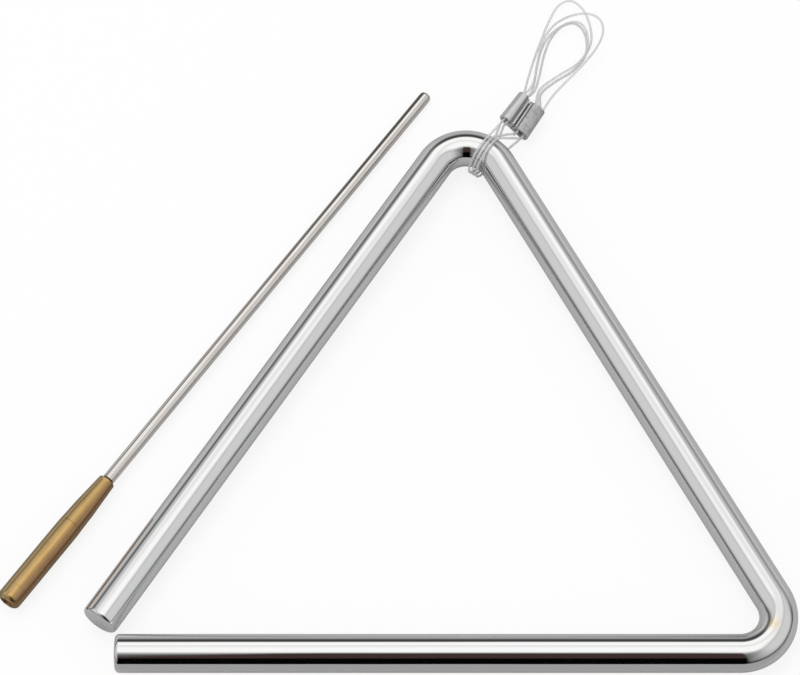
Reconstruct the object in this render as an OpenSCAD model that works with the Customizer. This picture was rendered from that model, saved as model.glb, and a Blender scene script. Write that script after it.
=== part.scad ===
// Musical triangle of bent round steel bar, with a nylon line hanger and a loose metal beater.
// It lies on a table: +X runs along the bottom leg, +Y towards the apex and +Z up.
// The origin is on the table, under the middle of the box round the bar and the beater.

/* [Bar] */
// diameter of the round steel bar
bar_d = 12; // [10:0.5:14]
// bottom leg, from the corner of the two leg axes to its cut end
bottom_leg = 214.4; // [190:1:240]
// middle leg, from corner to corner of the leg axes
middle_leg = 218.7; // [200:1:240]
// open leg, from the corner of the two leg axes to its cut end
open_leg = 216.4; // [190:0.2:217]
// inside angle of the low corner
corner_angle = 61.8; // [60:0.2:66]
// inside angle of the apex
apex_angle = 60.8; // [57:0.2:63]
// bend radius on the axis of the bar at the low corner, in bar diameters
corner_bend_share = 1.05; // [0.9:0.05:1.4]
// bend radius on the axis of the bar at the apex, in bar diameters
apex_bend_share = 1; // [0.9:0.05:1.4]
// rounding of the edge round each cut end
end_round = 1.3; // [0.5:0.1:2]

/* [Line] */
// diameter of the nylon line
line_d = 0.8; // [0.5:0.05:0.8]
// free space between the bar and each wrap of the line
wrap_space = 0.5; // [0.4:0.05:0.8]
// bow of the wraps off the bar inside the bend, as a share of their radius
wrap_bow_share = 0.2; // [0:0.01:0.25]
// distance from wrap to wrap along the bar
wrap_step = 1.35; // [1.3:0.05:1.6]
// distance from strand to strand inside the crimp
strand_step = 1.4; // [1.3:0.05:1.5]
// straight strands between the bar and the crimp
strand_run = 8.1; // [7.7:0.2:12.1]
// angle from the middle of the apex bend to the wraps, towards the middle leg
hanger_lean = 32.5; // [10:0.5:40]
// height from loop to loop where the loops cross
level_step = 1.3; // [1.25:0.05:1.5]
// length of the two cut ends that stand out of the crimp
stub_len = 1.6; // [0.5:0.1:2]
// reach of the longest finger loop past the crimp
loop_reach = 43.6; // [36:0.2:56]
// free space between a strand and the barrel that holds it
line_room = 0.03; // [0.02:0.01:0.1]

/* [Crimp] */
// length of the folded crimp
crimp_len = 11.4; // [8:0.2:14]
// thickness of its sheet
sheet_t = 0.9; // [0.6:0.1:1.2]
// width of the slot between its two folded edges
seam_w = 0.5; // [0.3:0.1:0.8]
// width by which the right barrel is pressed flat
flat_run = 1.1; // [0.9:0.1:1.5]
// turn of the crimp about its length, left barrel up
crimp_roll = 25; // [15:1:35]
// height by which the stiff line holds the crimp off the table
crimp_rise = 2.5; // [1:0.1:3]
// distance of the crimp from the middle of the wraps, towards the middle leg
crimp_shift = 0.85; // [0.35:0.1:1.35]

/* [Beater] */
// full length of the beater
beater_len = 229.2; // [200:0.2:250]
// diameter of the steel rod
rod_d = 4; // [3:0.1:5]
// length of the rod's tenon inside the handle
rod_let_in = 26; // [15:1:35]
// step from the rod down to the thinner tenon inside the handle
tenon_step = 0.3; // [0.2:0.05:0.5]
// length of the tenon that shows between the handle and the rod
neck_len = 0.5; // [0.3:0.1:0.8]
// rounding of the tip of the rod
tip_round = 1.4; // [0.5:0.1:1.5]
// diameter of the handle
handle_d = 7.8; // [7:0.1:10]
// length of the handle
handle_len = 51.6; // [45:0.2:60]
// straight part of the handle, from its butt
handle_straight = 30.8; // [20:0.2:35]
// diameter of the handle at its nose
nose_d = 5.6; // [5.2:0.1:6.4]
// rounding of the butt
butt_round = 1.1; // [0.5:0.1:1.5]
// diameter of the shallow hollow in the butt
hollow_d = 4.4; // [2:0.1:4.6]
// depth of the hollow
hollow_depth = 1.2; // [0.3:0.1:1.5]
// free space between the handle's butt and the open leg
beater_gap = 18.7; // [12:0.1:30]
// how far the butt lies back of the open leg's cut end
beater_back = 9.4; // [0:0.1:30]
// turn of the beater towards the open leg
beater_turn = 2.56; // [0:0.02:3.5]

/* [Hidden] */
$fn = 72;

// overrun of every cut past its face
over = 0.5;
steel = [0.82, 0.83, 0.85];
nylon = [0.9, 0.92, 0.93, 0.8];
aluminium = [0.66, 0.67, 0.68];
rod_steel = [0.8, 0.77, 0.74];
brass = [0.68, 0.52, 0.27];

// Bar: leg directions, bends and corners in the bar's own plane, low corner at zero
bar_r = bar_d / 2;
corner_r = corner_bend_share * bar_d;
apex_r = apex_bend_share * bar_d;
middle_dir = 180 - corner_angle;
open_dir = 360 - corner_angle - apex_angle;
corner_turn = 180 - corner_angle;
apex_turn = 180 - apex_angle;
corner_run = corner_r * tan(corner_turn / 2);
apex_run = apex_r * tan(apex_turn / 2);
corner_centre = [-corner_run, corner_r];
apex_point = middle_leg * ray(middle_dir);
apex_centre = apex_point - apex_run * ray(middle_dir) + apex_r * ray(middle_dir + 90);
open_end = apex_point + open_leg * ray(open_dir);

// Hanger: its place on the apex bend, and the height that the line lifts the bar by there
wrap_r = bar_r + wrap_space + line_d / 2;
hang_dir = middle_dir - 90 + apex_turn / 2 - hanger_lean;
hang_flat = apex_centre + apex_r * ray(hang_dir);
lift = wrap_r + line_d / 2 - bar_r;
tilt = asin(lift / hang_flat[1]);

// Beater: its slope on the table, from the handle's straight part to the tip
handle_r = handle_d / 2;
rod_r = rod_d / 2;
tip_at = beater_len - tip_round;
slope = atan((handle_r - rod_r) / (tip_at - handle_straight));
butt_z = handle_r * cos(slope) + handle_straight * sin(slope);
beater_dir = open_dir - 180 - beater_turn;
butt_at = open_end + beater_back * ray(open_dir) + (bar_r + beater_gap + handle_r) * ray(open_dir - 90);
tip_xy = butt_at + tip_at * cos(slope) * ray(beater_dir);

// Middle of the box round the bar and the beater
box_right = corner_centre[0] + corner_r + bar_r;
box_left = butt_at[0] + butt_round * (cos(beater_dir) - 1) - (handle_r - butt_round) * sin(beater_dir);
box_front = -bar_r;
box_back = max(tip_xy[1] + (rod_r - tip_round) * cos(beater_dir) + tip_round, lifted_top());
origin_at = [(box_left + box_right) / 2, (box_front + box_back) / 2];

function ray(a) = [cos(a), sin(a)];
function lifted_top() = (apex_centre[1] + apex_r + bar_r) * cos(tilt);

// A point of the bar's plane, lifted about the bottom leg and moved to the object's origin
function placed(p, z = 0) = [
    p[0] - origin_at[0],
    p[1] * cos(tilt) - z * sin(tilt) - origin_at[1],
    p[1] * sin(tilt) + z * cos(tilt) + bar_r
];

module in_bar_plane() {
    translate([-origin_at[0], -origin_at[1], bar_r])
        rotate([tilt, 0, 0])
            children();
}

// Half profile of a leg: straight side, rounded edge at the far end
module leg_profile(length) {
    square([bar_r, length - end_round]);
    square([bar_r - end_round, length]);
    translate([bar_r - end_round, length - end_round])
        circle(end_round);
}

module cut_leg(length) {
    rotate_extrude()
        intersection() {
            leg_profile(length);
            square([bar_r, length]);
        }
}

// The bar is followed from its bottom cut end: each stretch runs along +Y, then carries the next one.
// A bend is a touch thicker than the bar, and each leg is let into it, short of its curved side.
swell_r = 0.03;
function let_in(bend_r) = sqrt(swell_r * bend_r);

module first_leg(length) {
    translate([0, length, 0]) {
        translate([0, let_in(corner_r), 0])
            rotate([90, 0, 0])
                cut_leg(length + let_in(corner_r));
        children();
    }
}

module bend(bend_r, turn) {
    translate([-bend_r, 0, 0]) {
        rotate_extrude(angle = turn)
            translate([bend_r, 0])
                circle(bar_r + swell_r);
        rotate([0, 0, turn])
            translate([bend_r, 0, 0])
                children();
    }
}

module plain_leg(length) {
    translate([0, -let_in(corner_r), 0])
        rotate([-90, 0, 0])
            cylinder(h = length + let_in(corner_r) + let_in(apex_r), d = bar_d);
    translate([0, length, 0])
        children();
}

module last_leg(length) {
    translate([0, -let_in(apex_r), 0])
        rotate([-90, 0, 0])
            cut_leg(length + let_in(apex_r));
}

module triangle_bar() {
    color(steel)
        in_bar_plane()
            translate([-bottom_leg, 0, 0])
                rotate([0, 0, -90])
                    first_leg(bottom_leg - corner_run)
                        bend(corner_r, corner_turn)
                            plain_leg(middle_leg - corner_run - apex_run)
                                bend(apex_r, apex_turn)
                                    last_leg(open_leg - apex_run);
}

// Crimp: two barrels with four strands each, joined below, with the sheet's edges standing between
// Shares: of the sheet by which a barrel stands off the seam, of the barrel's radius to its flat sides,
// down to the web, and from the web up to the top of the two folded edges
joined_share = 0.5;
flat_share = 0.985;
web_share = 0.92;
lip_share = 1.8;
bore_r = strand_step / sqrt(2) + line_d / 2 + line_room;
barrel_r = bore_r + sheet_t;
barrel_at = barrel_r + sheet_t * joined_share + seam_w / 2;
crimp_z = (barrel_at + flat_run) * sin(crimp_roll) + barrel_r + crimp_rise;
mouth_low = bar_r + strand_run;
mouth_top = mouth_low + crimp_len;
hang_z = placed(hang_flat)[2];
crimp_n = crimp_z - hang_z;

// Hanger frame: t along the bar, u away from the bend, n up from the bar's axis
function hung(p) = placed(hang_flat) + [
    p[0] * sin(hang_dir) + p[1] * cos(hang_dir),
    -p[0] * cos(hang_dir) + p[1] * sin(hang_dir),
    p[2]
];

module barrel(side, r) {
    translate([side * barrel_at, 0])
        circle(r);
    if (side > 0) {
        translate([barrel_at + flat_run, 0])
            circle(r);
        translate([barrel_at, -r * flat_share])
            square([flat_run, 2 * r * flat_share]);
    }
}

module folded_sheet() {
    for (side = [-1, 1])
        difference() {
            union() {
                barrel(side, barrel_r);
                translate([min(0, side * barrel_at), -barrel_r * web_share])
                    square([barrel_at, sheet_t]);
                translate([side * (seam_w + sheet_t) / 2 - sheet_t / 2, -barrel_r * web_share])
                    square([sheet_t, barrel_r * lip_share]);
            }
            barrel(side, bore_r);
        }
}

module crimp_ferrule() {
    color(aluminium)
        translate(hung([crimp_shift, mouth_top, crimp_n]))
            rotate([0, 0, hang_dir - 90])
                rotate([90, 0, 0])
                    rotate([0, 0, -crimp_roll])
                        linear_extrude(crimp_len)
                            folded_sheet();
}

// Strand places in a barrel: side is -1 left or 1 right, column and row are -1 or 1 from its middle
function strand(side, column, row) =
    let (
        flat = side > 0 && column > 0 ? flat_run : 0,
        x = side * barrel_at + column * strand_step / 2 + flat,
        y = row * strand_step / 2
    )
    [
        x * cos(crimp_roll) + y * sin(crimp_roll) + crimp_shift,
        crimp_n - x * sin(crimp_roll) + y * cos(crimp_roll)
    ];

stub_left = strand(-1, 1, 1);
front_left = strand(-1, -1, 1);
back_left = strand(-1, -1, -1);
back_inner = strand(-1, 1, -1);
front_inner = strand(1, -1, 1);
front_right = strand(1, 1, 1);
back_right = strand(1, 1, -1);
stub_right = strand(1, -1, -1);

// Straight way out of the crimp before a strand turns, and steps of the route
lead = 1.2;
wrap_steps = 11;
run_steps = 3;
loop_steps = 15;

function mouth(s, u) = [s[0], u, s[1]];

// One wrap: down from the crimp, touching the wrap circle, round inside the bend and back
function touch(s, sign) =
    atan2(s[1], mouth_low - lead) + sign * acos(wrap_r / norm([mouth_low - lead, s[1]]));
function on_wrap(t, a) = [t, wrap_r * cos(a) * (cos(a) < 0 ? 1 + wrap_bow_share : 1), wrap_r * sin(a)];
function run_down(s, t, a) = [
    for (i = [0 : run_steps - 1])
        let (k = i / run_steps)
        mouth(s, mouth_low - lead) * (1 - k) + on_wrap(t, a) * k
];
function wrap_route(front, back, t) =
    let (a = touch(front, 1), b = 360 + touch(back, -1))
    concat(
        run_down(front, t, a),
        [for (i = [0 : wrap_steps]) on_wrap(t, a + (b - a) * i / wrap_steps)],
        turned_round(run_down(back, t, b))
    );

// One finger loop: from one strand to another, leaning and level away from the crimp.
// The strands draw together past the crimp by one power and settle to their level by another.
// Each side widens by two shares of its own, and both come to the same roundness at the tip.
draw_power = 6;
settle_power = 7;
function loop_route(left, right, shape) = [
    for (i = [1 : loop_steps - 1])
        let (
            a = 360 * i / loop_steps,
            k = (1 - cos(a)) / 2,
            s = a < 180 ? left : right,
            side = a < 180 ? 4 : 6,
            widening = shape[side] + shape[side + 1] * k,
            half = sqrt(1 - k) * k * (shape[2] * pow(k, 2) + (1 - k) * widening),
            near = pow(1 - k, settle_power)
        )
        [
            s[0] * pow(1 - k, draw_power) + loop_reach * (shape[1] * pow(k, 1.5) + (a < 180 ? -half : half)),
            mouth_top + lead + loop_reach * shape[0] * k,
            s[1] * near + (shape[3] * level_step + line_d / 2 + line_room - hang_z) * (1 - near)
        ]
];

// Finger loops: reach, lean and half width at the tip as shares of the longest reach, then the level
// from the table, and two shares by which the left side widens and two for the right side
small_top_shares = [0.844, -0.093, 0.332, 2, 0.214, 1.058, -0.311, 1.693];
small_low_shares = [0.853, -0.122, 0.372, 0, 0.086, 0.834, -0.558, 1.999];
wide_top_shares = [0.951, -0.021, 0.47, 3, 0.188, 1.544, 0.507, 0.159];
wide_low_shares = [1, -0.239, 0.484, 1, 0.821, -0.239, -0.618, 2.546];

function turned_round(list) = [for (i = [len(list) - 1 : -1 : 0]) list[i]];
function through(s) = [mouth(s, mouth_low), mouth(s, (mouth_low + mouth_top) / 2), mouth(s, mouth_top)];

// The whole route of the line, from its left stub to its right stub
route = concat(
    [mouth(stub_left, mouth_low - stub_len)],
    through(stub_left),
    loop_route(stub_left, front_inner, small_top_shares),
    turned_round(through(front_inner)),
    wrap_route(front_inner, back_inner, 0),
    through(back_inner),
    loop_route(back_inner, back_right, small_low_shares),
    turned_round(through(back_right)),
    turned_round(wrap_route(front_right, back_right, wrap_step)),
    through(front_right),
    turned_round(loop_route(front_left, front_right, wide_top_shares)),
    turned_round(through(front_left)),
    wrap_route(front_left, back_left, -wrap_step),
    through(back_left),
    loop_route(back_left, stub_right, wide_low_shares),
    turned_round(through(stub_right)),
    [mouth(stub_right, mouth_low - stub_len)]
);

// Smooth points between the route's points, and a ring of the tube at each
ring_sides = 6;
function knot(a, b) = pow(norm(b - a), 0.5);
function smooth(a, b, c, d, k) =
    let (
        ta = 0,
        tb = ta + knot(a, b),
        tc = tb + knot(b, c),
        td = tc + knot(c, d),
        t = tb + (tc - tb) * k,
        ab = ((tb - t) * a + (t - ta) * b) / (tb - ta),
        bc = ((tc - t) * b + (t - tb) * c) / (tc - tb),
        cd = ((td - t) * c + (t - tc) * d) / (td - tc),
        abc = ((tc - t) * ab + (t - ta) * bc) / (tc - ta),
        bcd = ((td - t) * bc + (t - tb) * cd) / (td - tb)
    )
    ((tc - t) * abc + (t - tb) * bcd) / (tc - tb);
function route_at(i, k) =
    let (
        n = len(route),
        b = route[i],
        c = route[i + 1],
        a = i > 0 ? route[i - 1] : 2 * b - c,
        d = i < n - 2 ? route[i + 2] : 2 * c - b
    )
    smooth(a, b, c, d, k);
function line_points(parts) = concat(
    [for (i = [0 : len(route) - 2], j = [0 : parts - 1]) route_at(i, j / parts)],
    [route[len(route) - 1]]
);

function unit(v) = v / norm(v);
function heading(p, i) = unit(p[min(i + 1, len(p) - 1)] - p[max(i - 1, 0)]);
function square_to(v, h) = unit(v - (v * h) * h);
function sides(p) = [
    for (i = 0, v = square_to([0, 0, 1], heading(p, 0));
        i < len(p);
        i = i + 1, v = i < len(p) ? square_to(v, heading(p, i)) : v)
        v
];

module tube(p, d) {
    n = ring_sides;
    v = sides(p);
    rings = [
        for (i = [0 : len(p) - 1])
            let (w = cross(heading(p, i), v[i]))
            for (j = [0 : n - 1]) p[i] + d / 2 * (cos(360 * j / n) * v[i] + sin(360 * j / n) * w)
    ];
    skin = [
        for (i = [0 : len(p) - 2], j = [0 : n - 1])
            let (k = (j + 1) % n)
            each [
                [i * n + j, (i + 1) * n + j, (i + 1) * n + k],
                [i * n + j, (i + 1) * n + k, i * n + k]
            ]
    ];
    last = (len(p) - 1) * n;
    ends = [
        for (j = [1 : n - 2])
            each [[0, j, j + 1], [last, last + j + 1, last + j]]
    ];
    polyhedron(points = rings, faces = concat(skin, ends));
}

// Least gap of the line to itself, over stretches at least four diameters apart along it
fine = line_points(3);
runs = [for (i = 0, s = 0; i < len(fine); s = s + step_of(i), i = i + 1) s];
function step_of(i) = i < len(fine) - 1 ? norm(fine[i + 1] - fine[i]) : 0;
function least_gap() = min([
    for (i = [0 : len(fine) - 1], j = [i + 1 : len(fine) - 1])
        if (runs[j] - runs[i] > 4 * line_d)
            norm(fine[j] - fine[i]) - line_d
]);
echo(line_gap = least_gap(), line_length = runs[len(runs) - 1]);

module hanger_line() {
    color(nylon)
        tube([for (q = line_points(2)) hung(q)], line_d);
}

// Beater frame: the butt's middle at zero, z along the beater
module in_beater() {
    translate([butt_at[0] - origin_at[0], butt_at[1] - origin_at[1], butt_z])
        rotate([0, 0, beater_dir])
            rotate([0, 90 + slope, 0])
                children();
}

tenon_r = rod_r - tenon_step;
shoulder_at = handle_len + neck_len;
module rod_profile(length) {
    translate([0, -rod_let_in - neck_len])
        square([tenon_r, rod_let_in + neck_len + over]);
    intersection() {
        union() {
            square([rod_r, length - tip_round]);
            square([rod_r - tip_round, length]);
            translate([rod_r - tip_round, length - tip_round])
                circle(tip_round);
        }
        square([rod_r, length]);
    }
}

module beater_rod() {
    color(rod_steel)
        in_beater()
            translate([0, 0, shoulder_at])
                rotate_extrude()
                    rod_profile(beater_len - shoulder_at);
}

// Handle: straight grip, two slopes to the nose, rounded butt with a shallow hollow
swell_share = 0.42;
swell_drop_share = 0.3;
nose_round = 0.4;
module handle_profile() {
    taper = handle_len - handle_straight;
    swell_at = handle_straight + taper * swell_share;
    swell_r = handle_r - (handle_d - nose_d) / 2 * swell_drop_share;
    union() {
        polygon([
            [0, hollow_depth],
            [hollow_d / 2, 0],
            [handle_r - butt_round, 0],
            [handle_r - butt_round, butt_round],
            [handle_r, butt_round],
            [handle_r, handle_straight],
            [swell_r, swell_at],
            [nose_d / 2, handle_len - nose_round],
            [nose_d / 2 - nose_round, handle_len],
            [0, handle_len]
        ]);
        intersection() {
            translate([handle_r - butt_round, butt_round])
                circle(butt_round);
            square([handle_r, butt_round]);
        }
    }
}

module beater_handle() {
    color(brass)
        in_beater()
            difference() {
                rotate_extrude()
                    handle_profile();
                translate([0, 0, handle_len - rod_let_in])
                    cylinder(h = rod_let_in + over, r = tenon_r);
            }
}

triangle_bar();
hanger_line();
crimp_ferrule();
beater_rod();
beater_handle();
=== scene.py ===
"""Musical triangle with its hanger of clear line and its loose beater."""

import logging
import math
from abc import ABC, abstractmethod
from collections.abc import Callable, Sequence
from dataclasses import dataclass
from enum import Enum

import bmesh
import bpy
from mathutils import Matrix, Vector


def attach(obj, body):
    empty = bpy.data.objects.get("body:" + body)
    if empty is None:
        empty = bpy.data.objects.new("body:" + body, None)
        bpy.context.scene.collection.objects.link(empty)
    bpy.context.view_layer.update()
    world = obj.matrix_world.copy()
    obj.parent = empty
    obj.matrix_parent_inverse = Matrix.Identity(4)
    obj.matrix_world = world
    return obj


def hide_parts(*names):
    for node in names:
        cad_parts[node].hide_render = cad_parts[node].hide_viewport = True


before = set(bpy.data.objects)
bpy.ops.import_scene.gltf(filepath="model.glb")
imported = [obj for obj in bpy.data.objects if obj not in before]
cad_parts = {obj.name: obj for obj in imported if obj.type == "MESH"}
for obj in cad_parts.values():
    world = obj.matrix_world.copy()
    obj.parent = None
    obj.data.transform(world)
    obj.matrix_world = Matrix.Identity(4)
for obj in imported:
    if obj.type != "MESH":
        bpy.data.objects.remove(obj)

LOG = logging.getLogger("triangle")
MM = 0.001
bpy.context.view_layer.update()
SECTION_RADIUS = "section_radius"

Pair = tuple[float, float]
Point = tuple[float, float, float]
Colour = tuple[float, float, float, float]
Looks = dict[str, object]
Mesh = bpy.types.Mesh
Piece = bpy.types.Object
Vert = bmesh.types.BMVert


class Body(Enum):
    """The bodies that pieces ride on."""

    BAR = "bar"
    HANGER = "hanger"
    BEATER = "beater"


class Slot(Enum):
    """The record's material slots."""

    CHROME = "bar_chrome"
    LINE = "line_nylon"
    CRIMP = "crimp_aluminium"
    ROD = "rod_steel"
    HANDLE = "handle_brass"


class Shading(Enum):
    """Angle that an edge shows from, in degrees."""

    TURNED = 32.0
    FOLDED = 40.0


def cos_sin(degrees: float) -> Pair:
    """Cosine and sine of an angle."""
    return math.cos(math.radians(degrees)), math.sin(math.radians(degrees))


def ray(degrees: float) -> Vector:
    """Flat unit vector at an angle from +X."""
    return Vector((*cos_sin(degrees), 0.0))


def grey(tone: float) -> Colour:
    """Opaque grey."""
    return tone, tone, tone, 1.0


def even(first: float, last: float, steps: int) -> list[float]:
    """Values in even steps from first to last, both with them."""
    return [first + (last - first) * k / steps for k in range(steps + 1)]


# Nodes


def _joined(operation: str, swapped: bool = False) -> Callable[["Field", "Number"], "Field"]:
    """The method behind an arithmetic sign, with the other value first where swapped."""
    if swapped:
        return lambda one, other: one.desk.maths(operation, other, one)
    return lambda one, other: one.desk.maths(operation, one, other)


@dataclass(frozen=True)
class Field:
    """A node output that arithmetic can be done on, and the desk of its tree."""

    desk: "NodeDesk"
    socket: bpy.types.NodeSocket

    __add__, __radd__ = _joined("ADD"), _joined("ADD", swapped=True)
    __sub__, __rsub__ = _joined("SUBTRACT"), _joined("SUBTRACT", swapped=True)
    __mul__, __truediv__ = _joined("MULTIPLY"), _joined("DIVIDE")

    def __abs__(self) -> "Field":
        """Absolute value."""
        return self.desk.maths("ABSOLUTE", self)


Number = Field | float
Lengths = tuple[Field, Field, Field]


class NodeDesk:
    """Makes the nodes of one tree."""

    def __init__(self, tree: bpy.types.NodeTree) -> None:
        """Work on a tree."""
        self.tree = tree

    def fill(self, node: bpy.types.Node, inputs: dict[int | str, object]) -> None:
        """Set or link a node's inputs, by name or place."""
        for key, value in inputs.items():
            if isinstance(value, Field):
                self.tree.links.new(value.socket, node.inputs[key])
            else:
                node.inputs[key].default_value = value

    def make(
        self, kind: str, inputs: dict[int | str, object], output: int | str = 0, **settings: object
    ) -> Field:
        """Add one node.

        Args:
            kind: The node's type.
            inputs: Values or links of its inputs, by name or place.
            output: The output that the result stands for.
            settings: Its own settings.

        Returns:
            The node's output, or its first input where it has no output.
        """
        node = self.tree.nodes.new(kind)
        for key, value in settings.items():
            setattr(node, key, value)
        self.fill(node, inputs)
        return Field(self, node.outputs[output] if node.outputs else node.inputs[0])

    def outputs(self, kind: str) -> dict[str, Field]:
        """All outputs of one new node, by name."""
        return {s.name: Field(self, s) for s in self.make(kind, {}).socket.node.outputs}

    def maths(self, operation: str, first: Number, second: Number = 0.0) -> Field:
        """Math node of one value or two."""
        return self.make("ShaderNodeMath", {0: first, 1: second}, operation=operation)

    def vector(self, operation: str, first: Field, other: Sequence[float], output: str = "Value") -> Field:
        """Vector Math node of a vector and a fixed one."""
        return self.make("ShaderNodeVectorMath", {0: first, 1: other}, output, operation=operation)

    def dot(self, vector: Field, other: Sequence[float]) -> Field:
        """Dot product of a vector with a fixed one."""
        return self.vector("DOT_PRODUCT", vector, other)

    def step(self, value: Field, low: float, high: float) -> Field:
        """Smooth step from 0 at low to 1 at high."""
        ends = {"Value": value, "From Min": low, "From Max": high}
        return self.make("ShaderNodeMapRange", ends, interpolation_type="SMOOTHSTEP")

    def band(self, value: Field, low: float, high: float, soft: float) -> Field:
        """1 between low and high and 0 outside, with soft edges."""
        return self.step(value, low - soft, low + soft) * (1.0 - self.step(value, high - soft, high + soft))

    def mixed(self, share: Number, first: Field | Colour, second: Field | Colour) -> Field:
        """Colour between first at share 0 and second at share 1."""
        return self.make("ShaderNodeMix", {0: share, 6: first, 7: second}, 2, data_type="RGBA")

    def combined(self, x: Field, y: Field, z: Field) -> Field:
        """Vector of three values."""
        return self.make("ShaderNodeCombineXYZ", {0: x, 1: y, 2: z})

    def noise(self, vector: Field, scale: float, detail: float = 2.0, rough: float = 0.5) -> Field:
        """Noise value at a vector."""
        shape = {"Vector": vector, "Scale": scale, "Detail": detail, "Roughness": rough}
        return self.make("ShaderNodeTexNoise", shape)

    def drawn(
        self, lengths: Lengths, lengthwise: float, across: float, detail: float = 3.0, rough: float = 0.6
    ) -> Field:
        """Noise with one frequency along an axis and another across it, in 1/mm."""
        x, y, z = lengths
        return self.noise(self.combined(x * lengthwise, y * across, z * across), 1.0, detail, rough)

    def round_axis(self, lengths: Lengths) -> tuple[Field, Field]:
        """Distance from an axis, in millimetres, and the share of it to the side, from -1 to 1."""
        _, side, over = lengths
        from_axis = self.maths("SQRT", side * side + over * over)
        return from_axis, side / (from_axis + 0.01)

    def place(self) -> Field:
        """Object coordinates, in metres."""
        return self.make("ShaderNodeTexCoord", {}, "Object")

    def bump(self, height: Field, strength: float, distance: float) -> Field:
        """Normal bent by a height."""
        return self.make("ShaderNodeBump", {"Strength": strength, "Distance": distance, "Height": height})


@dataclass(frozen=True)
class Axes:
    """A turned place: where it starts, in millimetres, and its three directions."""

    start: Vector
    along: Vector
    side: Vector
    over: Vector

    def at(self, along: float, side: float = 0.0, over: float = 0.0) -> Vector:
        """Point in metres from sizes in millimetres."""
        return (self.start + self.along * along + self.side * side + self.over * over) * MM

    def read(self, desk: NodeDesk) -> Lengths:
        """Lengths along, to the side and over, in millimetres, read from the surface."""
        from_start = desk.vector("SUBTRACT", desk.place(), self.start * MM, "Vector")
        return tuple(desk.dot(from_start, way / MM) for way in (self.along, self.side, self.over))


# Finishes


class Finish(ABC):
    """A finish that can be put on a piece."""

    name: str

    def material(self) -> bpy.types.Material:
        """Make the finish's material.

        Returns:
            The material.
        """
        made = bpy.data.materials.new(self.name)
        made.use_nodes = True
        desk = NodeDesk(made.node_tree)
        looks = {key.replace("_", " "): value for key, value in self.looks(desk).items()}
        desk.fill(made.node_tree.nodes["Principled BSDF"], looks)
        return made

    @abstractmethod
    def looks(self, desk: NodeDesk) -> Looks:
        """Values and links of the shader's inputs by name, with _ for a space."""


@dataclass(frozen=True)
class ChromePlate(Finish):
    """Bright chrome, faintly uneven, with a warm spot at the low corner."""

    name: str = "chrome_plate"
    colour: Colour = (0.93, 0.935, 0.94, 1.0)
    warm: Colour = (0.96, 0.78, 0.50, 1.0)
    warm_at: Point = (0.1158, -0.0924, 0.0115)
    warm_reach: float = 0.0046
    crease_at: Point = (0.0215, 0.0755, 0.0085)
    crease_reach: float = 0.008

    def looks(self, desk: NodeDesk) -> Looks:
        """Polish marks, haze, the warm spot and fine creases inside the apex bend."""
        place = desk.place()
        from_warm = desk.vector("DISTANCE", place, self.warm_at)
        from_crease = desk.vector("DISTANCE", place, self.crease_at)
        mottle = desk.step(desk.noise(place, 260.0, 3.0), 0.35, 0.6)
        warm = (1.0 - desk.step(from_warm, 0.2 * self.warm_reach, self.warm_reach)) * mottle
        haze = desk.step(desk.noise(place, 70.0, 4.0, 0.6), 0.5, 0.85)
        sway = desk.noise(place, 28.0, 1.0)
        grain = desk.noise(place, 900.0)
        creased = 1.0 - desk.step(from_crease, 0.4 * self.crease_reach, self.crease_reach)
        creases = desk.noise(place, 520.0) * creased
        return dict(
            Base_Color=desk.mixed(warm * 0.8, self.colour, self.warm),
            Metallic=1.0,
            Roughness=0.03 + haze * 0.05 + warm * 0.12,
            Normal=desk.bump(sway + grain * 0.012 + creases * 0.35, 0.25, 0.00045),
        )


@dataclass(frozen=True)
class ClearNylon(Finish):
    """Clear line: a glossy, slightly milky skin that lets the ground through."""

    name: str = "clear_nylon"
    colour: Colour = (0.78, 0.78, 0.785, 1.0)
    milky: Colour = (0.70, 0.70, 0.705, 1.0)

    def looks(self, desk: NodeDesk) -> Looks:
        """Slow changes of tone along the line, denser towards its edges."""
        tone = desk.step(desk.noise(desk.place(), 60.0), 0.35, 0.7)
        rim = desk.make("ShaderNodeLayerWeight", {"Blend": 0.35}, "Facing")
        return dict(
            Base_Color=desk.mixed(tone, self.colour, self.milky),
            Roughness=0.14 + tone * 0.06,
            Alpha=0.50 + tone * 0.06 + rim * 0.14,
            IOR=1.53,
        )


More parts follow.
